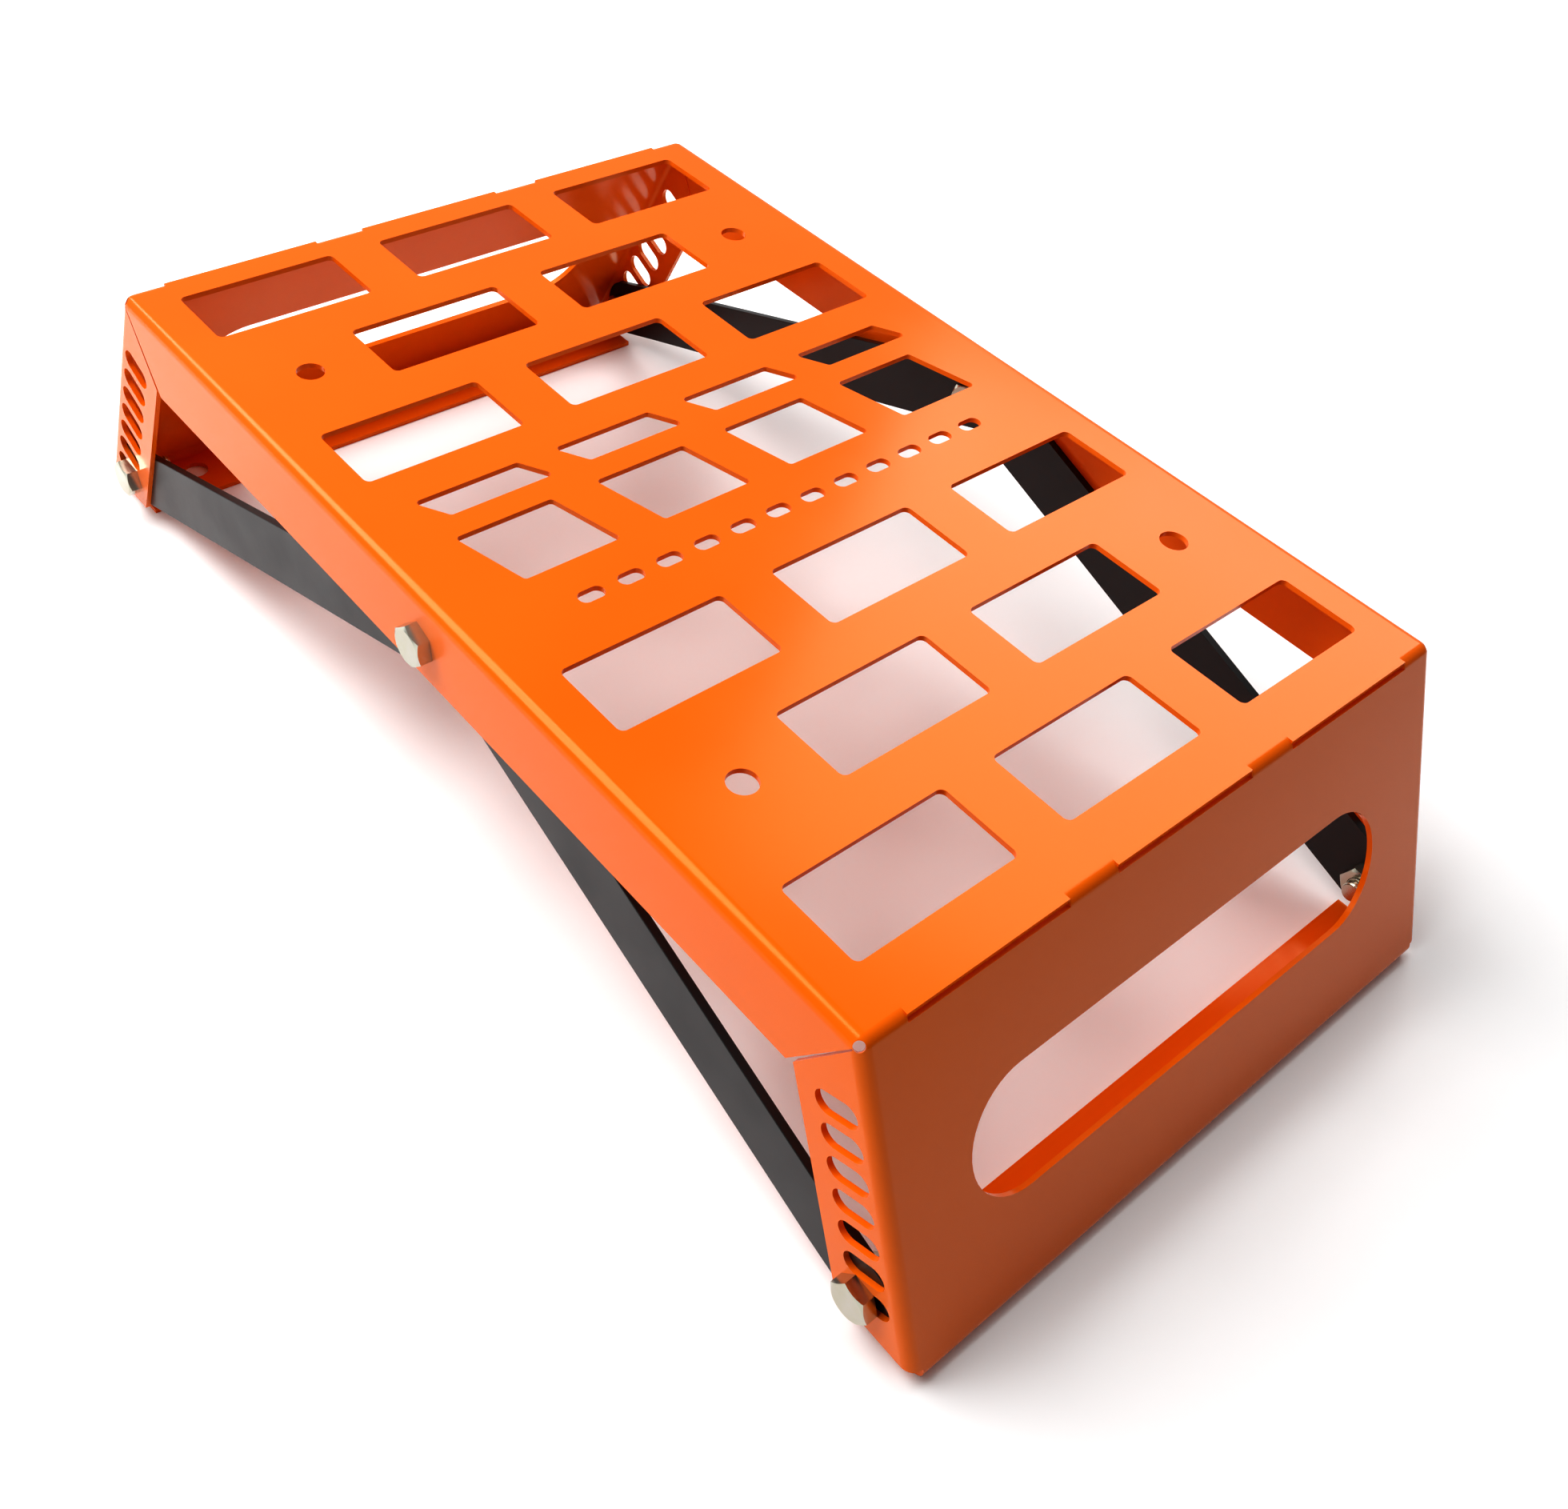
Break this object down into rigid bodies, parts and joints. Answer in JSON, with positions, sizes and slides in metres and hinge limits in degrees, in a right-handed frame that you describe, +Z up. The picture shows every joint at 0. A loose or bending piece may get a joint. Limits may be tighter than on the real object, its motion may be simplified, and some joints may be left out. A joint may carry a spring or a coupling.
{
  "type": "ramp leveler",
  "caption": "Folded sheet-metal ramp stand with a slotted deck, splayed slotted ends with hand slots, and flat crossed braces bolted along both sides.",
  "frame": {"origin": "on the ground, under the middle of the deck", "axes": "+X along the ramp to the front, +Y across it to the left, +Z up"},
  "size_m": [0.6296, 0.3488, 0.147],
  "materials": {
    "orange_coat": "gloss",
    "black_coat": "satin",
    "zinc_plate": "satin"
  },
  "bodies": {
    "root": {"ramp_shell": "orange_coat", "front_brace_left": "black_coat", "front_brace_right": "black_coat", "rear_brace_left": "black_coat", "rear_brace_right": "black_coat", "front_bolt_left": "zinc_plate", "front_bolt_right": "zinc_plate", "middle_bolt_left": "zinc_plate", "middle_bolt_right": "zinc_plate", "rear_bolt_left": "zinc_plate", "rear_bolt_right": "zinc_plate", "front_nut_left": "zinc_plate", "front_nut_right": "zinc_plate", "middle_nut_left": "zinc_plate", "middle_nut_right": "zinc_plate", "rear_nut_left": "zinc_plate", "rear_nut_right": "zinc_plate"}
  },
  "joints": []
}
